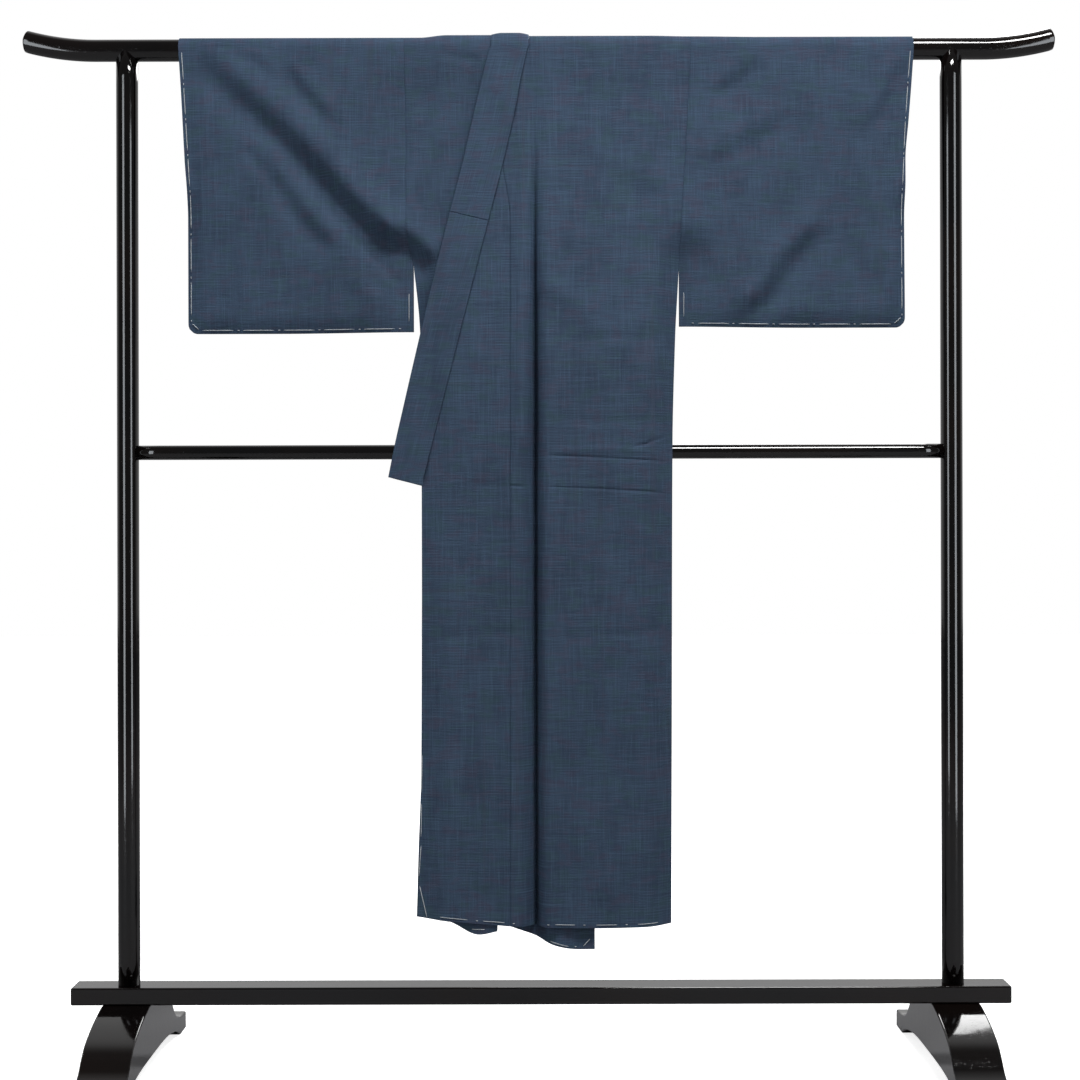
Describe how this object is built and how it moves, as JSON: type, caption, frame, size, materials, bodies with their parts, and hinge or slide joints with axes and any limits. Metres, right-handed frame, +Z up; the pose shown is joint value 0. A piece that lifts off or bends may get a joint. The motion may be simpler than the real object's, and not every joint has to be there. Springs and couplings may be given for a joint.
{
  "type": "tsumugi kimono on a kimono stand",
  "caption": "Dark blue men's tsumugi kimono hung over the top rail of a black lacquered kimono stand, fronts lapped, straight narrow collar, basted edges.",
  "frame": {"origin": "on the floor under the middle of the stand", "axes": "+Z up, +X along the rails to the viewer's right, -Y towards the viewer of the garment's front"},
  "size_m": [1.706, 0.572, 1.731],
  "materials": {
    "tsumugi_cloth": "matt slubbed silk, fine mottled weave",
    "basting_thread": "pale loose cotton thread",
    "black_lacquer": "glossy black lacquer"
  },
  "bodies": {
    "root": {"body_left": "tsumugi_cloth", "body_right": "tsumugi_cloth", "okumi_left": "tsumugi_cloth", "okumi_right": "tsumugi_cloth", "sleeve_left": "tsumugi_cloth", "sleeve_right": "tsumugi_cloth", "collar_left": "tsumugi_cloth", "collar_right": "tsumugi_cloth", "over_collar": "tsumugi_cloth", "top_rail": "black_lacquer", "middle_rail": "black_lacquer", "post_left": "black_lacquer", "post_right": "black_lacquer", "base_beam": "black_lacquer", "foot_left": "black_lacquer", "foot_right": "black_lacquer"}
  },
  "joints": []
}
